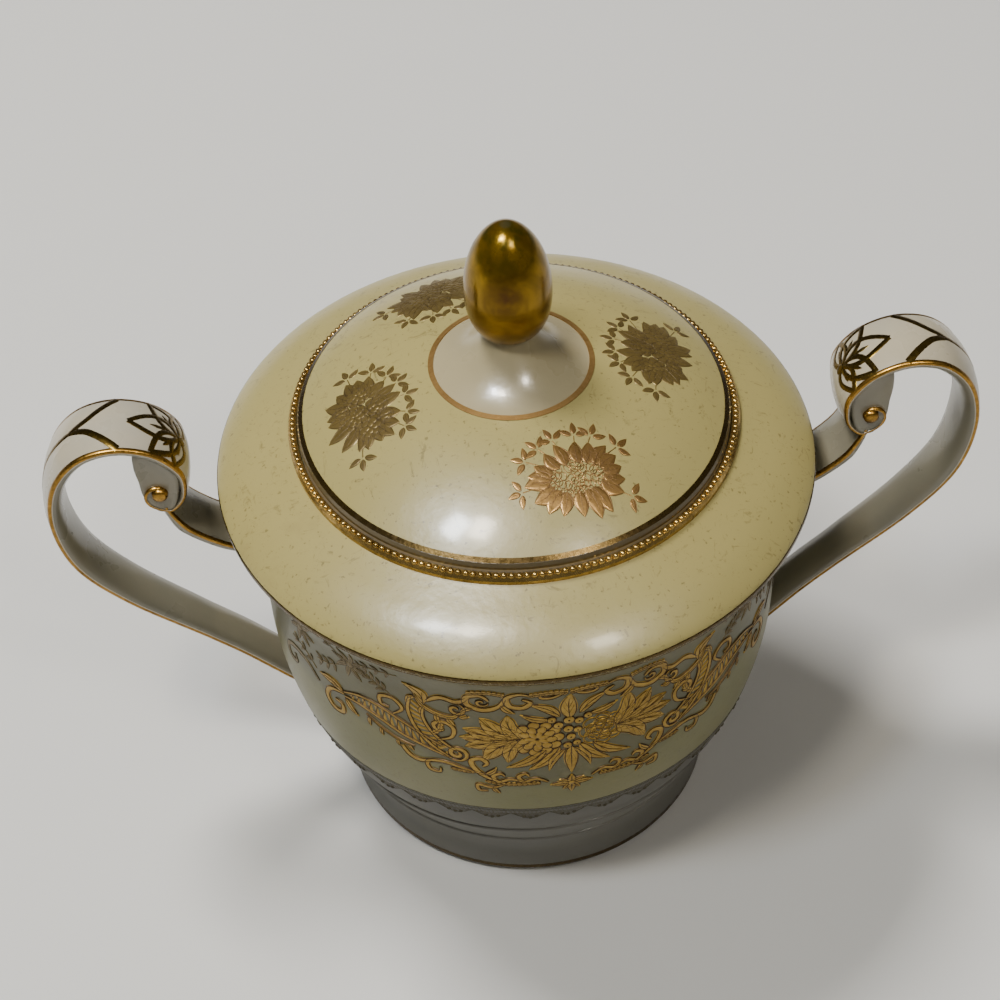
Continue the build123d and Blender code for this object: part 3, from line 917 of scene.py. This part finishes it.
def strap_mesh(strap, thick_at, outline=section, lift=0.0):
    """Verts and faces of the swept strap, or of a thin skin over part of its outline."""
    closed = outline is section
    verts, faces, rings = [], [], []
    for x, z, nx, nz, run in strap.points:
        points = outline(strap.width(run, z), thick_at(run))
        ring = []
        for i, (across, depth) in enumerate(points):
            grow = lift
            if not closed and i in (0, len(points) - 1):
                grow = -0.05
            wide = grow if across > 0 else -grow
            ring.append(len(verts))
            verts.append((strap.side * (x + nx * (depth + grow)) * MM, (across + wide) * MM,
                          (z + nz * (depth + grow)) * MM))
        rings.append(ring)
    count = len(rings[0])
    for a, b in zip(rings, rings[1:]):
        for i in range(count if closed else count - 1):
            k = (i + 1) % count
            quad = (a[i], a[k], b[k], b[i])
            faces.append(quad if strap.side > 0 else quad[::-1])
    if closed:
        for cap in (rings[0][::-1], rings[-1]):
            faces.append(tuple(cap) if strap.side > 0 else tuple(cap[::-1]))
    return verts, faces


def to_part(points):
    return [(REACH - a, CREST_TOP - b) for a, b in points]


def spiral_tail(start, centre, turns, steps, end=0.9):
    """Points that carry the crest on from start, winding inwards round centre."""
    dx, dz = start[0] - centre[0], start[1] - centre[1]
    radius, angle = math.hypot(dx, dz), math.atan2(dz, dx)
    out = []
    for i in range(1, steps + 1):
        t = i / steps
        r = radius + (end - radius) * t ** 0.66
        turn = angle + 2 * math.pi * turns * t
        out.append(polar(centre, r, turn))
    return out


def ring_faces(rows, ring, flip=False, start=0):
    """Faces between neighbouring rows of points, each row a closed ring."""
    faces = []
    for k in range(rows - 1):
        low, high = start + k * ring, start + (k + 1) * ring
        for i in range(ring):
            j = (i + 1) % ring
            quad = (low + i, low + j, high + j, high + i)
            faces.append(quad[::-1] if flip else quad)
    return faces


def joined(parts):
    verts, faces = [], []
    for some, more in parts:
        start = len(verts)
        verts.extend(some)
        faces.extend(tuple(i + start for i in face) for face in more)
    return verts, faces


def scroll_core(side):
    """The clay that fills the scroll, rounded at its edges and a little hollow in each side."""
    loop = smooth(to_part(CORE) + [to_part(CORE)[0]], 5)[:-1]
    centre = (sum(x for x, z in loop) / len(loop), sum(z for x, z in loop) / len(loop))
    verts = []
    ring = len(loop)
    half = ((0.15, 5.7), (0.55, 5.75), (0.8, 6.1), (0.93, 6.2), (1.0, 5.7))
    rows = half + tuple((scale, -y) for scale, y in half[::-1])
    for scale, y in rows:
        for x, z in loop:
            verts.append((side * (centre[0] + (x - centre[0]) * scale) * MM, y * MM,
                          (centre[1] + (z - centre[1]) * scale) * MM))
    faces = ring_faces(len(rows), ring, flip=side > 0)
    first = tuple(range(ring))
    last = tuple(range((len(rows) - 1) * ring, len(rows) * ring))
    faces.append(first[::-1] if side < 0 else first)
    faces.append(last if side < 0 else last[::-1])
    return verts, faces


def eye_dots(side):
    """A dot of gold at the middle of the scroll, on both sides."""
    centre = to_part([EYE])[0]
    verts, faces = [], []
    ring = 16
    rows = ((0.05, 7.0), (0.9, 6.95), (1.4, 6.7), (1.6, 5.6))
    for way in (-1, 1):
        start = len(verts)
        for radius, y in rows:
            for i in range(ring):
                x, z = polar(centre, radius, 2 * math.pi * i / ring)
                verts.append((side * x * MM, way * y * MM, z * MM))
        faces.extend(ring_faces(len(rows), ring, side * way < 0, start))
        cap = tuple(range(start, start + ring))
        faces.append(cap[::-1] if side * way > 0 else cap)
    return verts, faces


def build_handle(side, name, node):
    crest = to_part(CREST)
    centre = to_part([EYE])[0]
    whole = crest + spiral_tail(crest[-1], centre, 1.05, 12)
    arm = Strap(to_part(ARM), ARM_THICKNESS, side=side, width=lambda run, z: half_width(z) * 0.96)
    body_run = Strap(crest, STRAP_THICKNESS, side=side).length

    def width(run, z):
        inner = max(0.0, run - body_run)
        return half_width(z) - 0.025 * inner

    strap = Strap(whole, STRAP_THICKNESS, side=side, width=width)

    def thick(run):
        t = min(max((run - body_run + SCROLL_TAPER) / SCROLL_TAPER, 0.0), 1.0)
        return STRAP_THICKNESS + (SCROLL_THICKNESS - STRAP_THICKNESS) * t

    def arm_thick(run):
        return ARM_START_THICKNESS + (ARM_THICKNESS - ARM_START_THICKNESS) * min(run / ARM_TAPER, 1.0)

    parts = [strap_mesh(strap, thick), strap_mesh(arm, arm_thick), scroll_core(side)]
    across = len(section(1.0, 1.0))
    faces = len(parts[0][1])
    caps = 2
    # slot 1, shade_glaze, is the white glaze darkened with painted shade: it goes on the strap's inner
    # face, the arm and the scroll core
    marks = []
    for i in range(faces):
        inner = FIRST_INNER <= i % across < across - SIDE_POINTS
        marks.append(1 if inner and i < faces - caps else 0)
    marks += [1] * (len(parts[1][1]) + len(parts[2][1]))
    glazes = [WHITE_GLAZE, SHADE_GLAZE]
    make_piece(name, *joined(parts), glazes, "bowl", "white_glaze", marks, replaces=(node,))
    lines = [eye_dots(side)]
    for way in (-1, 1):
        lines.append(strap_mesh(strap, thick, edge_strip(way), 0.07))
        lines.append(strap_mesh(arm, arm_thick, edge_strip(way), 0.07))
    make_piece(name + "_gilt_edges", *joined(lines), [GILT], "bowl", "gilt")
    handle_painting(strap, name + "_painting", body_run, side)


def handle_painting(strap, name, body_run, side):
    """Gilt drawing on the outer face: a middle line that forks, and a five-petalled palmette."""
    r = Relief(strap.place, flip=side > 0)
    fork = body_run - 35.0
    stem = smooth([(0.0, fork - 34), (0.0, fork - 26), (0.0, fork - 12), (0.0, fork)])
    r.stroke(stem, 1.4, 0.07, FILL, (0.3, 1))
    for way in (-1, 1):
        branch = [(0.0, -2.4), (1.2, 1.0), (3.0, 3.4), (6.5, 7.4)]
        r.stroke(smooth([(way * u, fork + v) for u, v in branch]), 1.7, 0.07, FILL, (0.7, 1))
    heart = fork + 20.4
    for turn, reach, wide in (
            (-90, 11.0, 5.2), (-46, 9.0, 4.4), (-134, 9.0, 4.4), (-2, 6.6, 3.8), (-178, 6.6, 3.8)):
        gilt_outline(r, (0.0, heart), polar((0.0, heart), reach, math.radians(turn)), wide)
    r.petal((0.0, heart + 0.6), 2.2, 2.6, 0, outline=0, rise=0.09, mark=FILL)
    r.build(name, [PAINT_GILT, PAINT_GILT])


def gilt_outline(r, base, tip, wide):
    """A painted petal: two curved edges that meet at the tip, and a vein."""
    du, dv = tip[0] - base[0], tip[1] - base[1]
    size = math.hypot(du, dv)
    nu, nv = -dv / size, du / size
    for way in (-1, 1):
        line = []
        for i in range(11):
            t = i / 10
            bulge = way * wide / 2 * math.sin(math.pi * t ** 0.85)
            line.append((base[0] + du * t + nu * bulge, base[1] + dv * t + nv * bulge))
        r.stroke(line, 1.45, 0.07, FILL, (0.9, 0.9))
    vein = [(base[0] + du * t, base[1] + dv * t) for t in (0.1, 0.3, 0.5, 0.62)]
    r.stroke(vein, 1.1, 0.07, FILL, (1, 0.2))


# ---------------------------------------------------------------- build

BOWL_GLAZE = bowl_glaze()
LID_GLAZE = lid_glaze()
WHITE_GLAZE = white_glaze("white_glaze", WHITE, WHITE_COOL)
# painted shade: the handles' inner faces, arms and scroll cores
SHADE_GLAZE = white_glaze("shade_glaze", SHADE_WHITE, SHADE_COOL)
STAND_GLAZE = white_glaze("stand_glaze", STAND_WHITE, STAND_WHITE)
GILT = gilding("gilt", (170, 130, 62), (96, 72, 34), 0.24, 0.15)
RIM_GILT = gilding("rim_gilt", (86, 70, 36), (56, 44, 22), 0.2, 0.08, metal=0.8)
PAINT_GILT = gilding("paint_gilt", (132, 108, 54), (78, 64, 30), 0.2, 0.0)
RING_GILT = gilding("ring_gilt", (210, 176, 104), (104, 82, 40), 0.16, 0.08, metal=0.9)
SPRAY_GILT = gilding("spray_gilt", (124, 106, 60), (96, 80, 42), 0.34, 0.3, metal=0.45)
# the front lid spray's gilt and lines are lighter copies of the other sprays': a painted highlight; its
# gilt is also more worn
SPRAY_GILT_HIGHLIGHT = gilding("spray_gilt_highlight", (148, 116, 66), (108, 82, 44), 0.26, 0.8, metal=0.65)
SPRAY_LINE_HIGHLIGHT = gilding("spray_line_highlight", (124, 94, 56), (92, 68, 38), 0.34, 0.3, metal=0.5)
SPRAY_LINE = gilding("spray_line", (92, 76, 42), (70, 56, 30), 0.4, 0.0, metal=0.4)
LINE_COPPER = gilding("line_copper", (176, 140, 84), (132, 100, 56), 0.3, 0.2, metal=0.6)
WALL_GOLD = gilding("wall_gold", (166, 136, 66), (136, 108, 48), 0.4, 0.0, metal=0.75)
WALL_LINE = gilding("wall_line", (68, 48, 20), (50, 34, 12), 0.4, 0.0, metal=0.6)
PALE_GOLD = gilding("pale_gold", (118, 102, 64), (94, 80, 48), 0.42, 0.0, metal=0.6)
PALE_LINE = gilding("pale_line", (70, 60, 36), (58, 48, 28), 0.42, 0.0, metal=0.6)
LACE_INK = gilding("lace_ink", (60, 54, 36), (48, 42, 28), 0.5, 0.0, metal=0.3)
LACE_NET = gilding("lace_net", (76, 70, 50), (62, 56, 40), 0.5, 0.0, metal=0.3)
EGG_GOLD = egg_gold()


def dress(node, material):
    """Gives a CAD node its finished material."""
    data = NODES[node].data
    data.materials.clear()
    data.materials.append(material)


dress("bowl_body", BOWL_GLAZE)
dress("lid", LID_GLAZE)
dress("finial_stand", STAND_GLAZE)
dress("finial_egg", EGG_GOLD)
dress("bead_ring", RING_GILT)
dress("finial_gilt_line", LINE_COPPER)
for line_node in ("shoulder_gilt_line", "foot_gilt_line", "lid_gilt_line"):
    dress(line_node, RIM_GILT)

for which, direction in (("front", CENTRE_ANGLE), ("back", CENTRE_ANGLE + 180)):
    flowers = Relief(on_wall(direction), flip=True)
    bouquet(flowers)
    star(flowers, 0.3, 46.2)
    flowers.build("wall_bouquet_" + which, [WALL_GOLD, WALL_LINE])
    scrolls = Relief(on_wall(direction), flip=True)
    sprays = Relief(on_wall(direction), flip=True, lift=0.6)
    for mirror in (1, -1):
        scrolls.at(mirror=mirror)
        half_frame(scrolls)
        sprays.at(mirror=mirror)
        side_sprays(sprays)
    scrolls.build("wall_cartouche_" + which, [WALL_GOLD, WALL_LINE])
    sprays.build("wall_side_sprays_" + which, [PALE_GOLD, PALE_LINE])

edging = Relief(on_wall(CENTRE_ANGLE), flip=True)
lace(edging)
edging.build("wall_lace_edging", [LACE_NET, LACE_INK])

for index, (azimuth, radius, tilt) in enumerate(SPRAYS):
    posy = Relief(on_lid(azimuth, radius), flip=True, lift=0.5)
    posy.at(size=0.94, turn=tilt)
    lid_spray(posy, filled=index != FRONT_SPRAY)
    # the front spray takes the lighter gilt and lines, with a painted highlight
    fill = SPRAY_GILT_HIGHLIGHT if index == FRONT_SPRAY else SPRAY_GILT
    line = SPRAY_LINE_HIGHLIGHT if index == FRONT_SPRAY else SPRAY_LINE
    posy.build("lid_spray_%d" % (index + 1), [fill, line], "lid")

shoulder_gilding()
build_handle(1, "handle_right_strap", "handle_right")
build_handle(-1, "handle_left_strap", "handle_left")


# ---------------------------------------------------------------- stage, light and camera

def stage_floor():
    bpy.ops.mesh.primitive_plane_add(size=8.0, location=(0, 0, CAD_BOX[0][2]))
    floor = bpy.context.object
    floor.name = "floor"
    g = Graph("floor")
    g.colour(rgb(226, 226, 224))
    g.set("Roughness", 0.9)
    floor.data.materials.append(g.material)


def softbox(name, direction, distance, size, power, colour):
    """An area light in a direction from the lid, facing it."""
    aim = Vector((0, 0, SHOULDER_Z * MM))
    data = bpy.data.lights.new(name, "AREA")
    data.shape = "RECTANGLE"
    data.size, data.size_y = size
    data.energy = power
    data.color = colour
    lamp = bpy.data.objects.new(name, data)
    lamp.location = aim + Vector(direction).normalized() * distance
    lamp.rotation_euler = (aim - lamp.location).to_track_quat("-Z", "Y").to_euler()
    bpy.context.scene.collection.objects.link(lamp)
    return lamp


def studio():
    world = bpy.data.worlds.new("studio")
    world.use_nodes = True
    world.node_tree.nodes["Background"].inputs[0].default_value = (1.0, 0.98, 0.95, 1.0)
    world.node_tree.nodes["Background"].inputs[1].default_value = 0.10
    bpy.context.scene.world = world
    cool, warm = (0.90, 0.95, 1.0), (1.0, 0.92, 0.78)
    for name, direction, size, colour, fill, shine in (
            ("key_cool", (-0.36, -0.25, 0.9), (0.12, 0.16), cool, 3.0, 11.0),
            ("key_warm", (-0.23, -0.30, 0.93), (0.12, 0.16), warm, 3.0, 9.0),
            ("front_right", (0.3, -0.54, 0.79), (0.14, 0.14), warm, 1.4, 6.0)):
        softbox(name, direction, 1.1, size, fill, colour)
        glow = softbox(name + "_glow", direction, 1.1, size, shine, colour)
        glow.visible_diffuse = False
    overhead = softbox("overhead", (-0.34, 0.34, 1.0), 1.5, (0.38, 0.38), 21.0, (1.0, 0.97, 0.92))
    overhead.visible_glossy = False


CAMERA_DISTANCE = 0.45
CAMERA_AZIMUTH = -5.2
CAMERA_ELEVATION = 45.27
CAMERA_HEADING = 4.58
CAMERA_TILT = 46.45
CAMERA_ROLL = -3.06
CAMERA_LENS = 84.5
AIM_HEIGHT = 85.6


def camera():
    data = bpy.data.cameras.new("camera")
    data.lens = CAMERA_LENS
    data.sensor_width = 36.0
    data.clip_start = 0.01
    eye = bpy.data.objects.new("camera", data)
    azimuth, elevation = math.radians(CAMERA_AZIMUTH), math.radians(CAMERA_ELEVATION)
    flat = CAMERA_DISTANCE * math.cos(elevation)
    eye.location = (flat * math.sin(azimuth), -flat * math.cos(azimuth),
                    AIM_HEIGHT * MM + CAMERA_DISTANCE * math.sin(elevation))
    turn = Matrix.Rotation(-math.radians(CAMERA_HEADING), 4, "Z")
    tip = Matrix.Rotation(math.radians(90 - CAMERA_TILT), 4, "X")
    roll = Matrix.Rotation(math.radians(CAMERA_ROLL), 4, "Z")
    eye.rotation_euler = (turn @ tip @ roll).to_euler()
    bpy.context.scene.collection.objects.link(eye)
    bpy.context.scene.camera = eye


stage_floor()
studio()
camera()
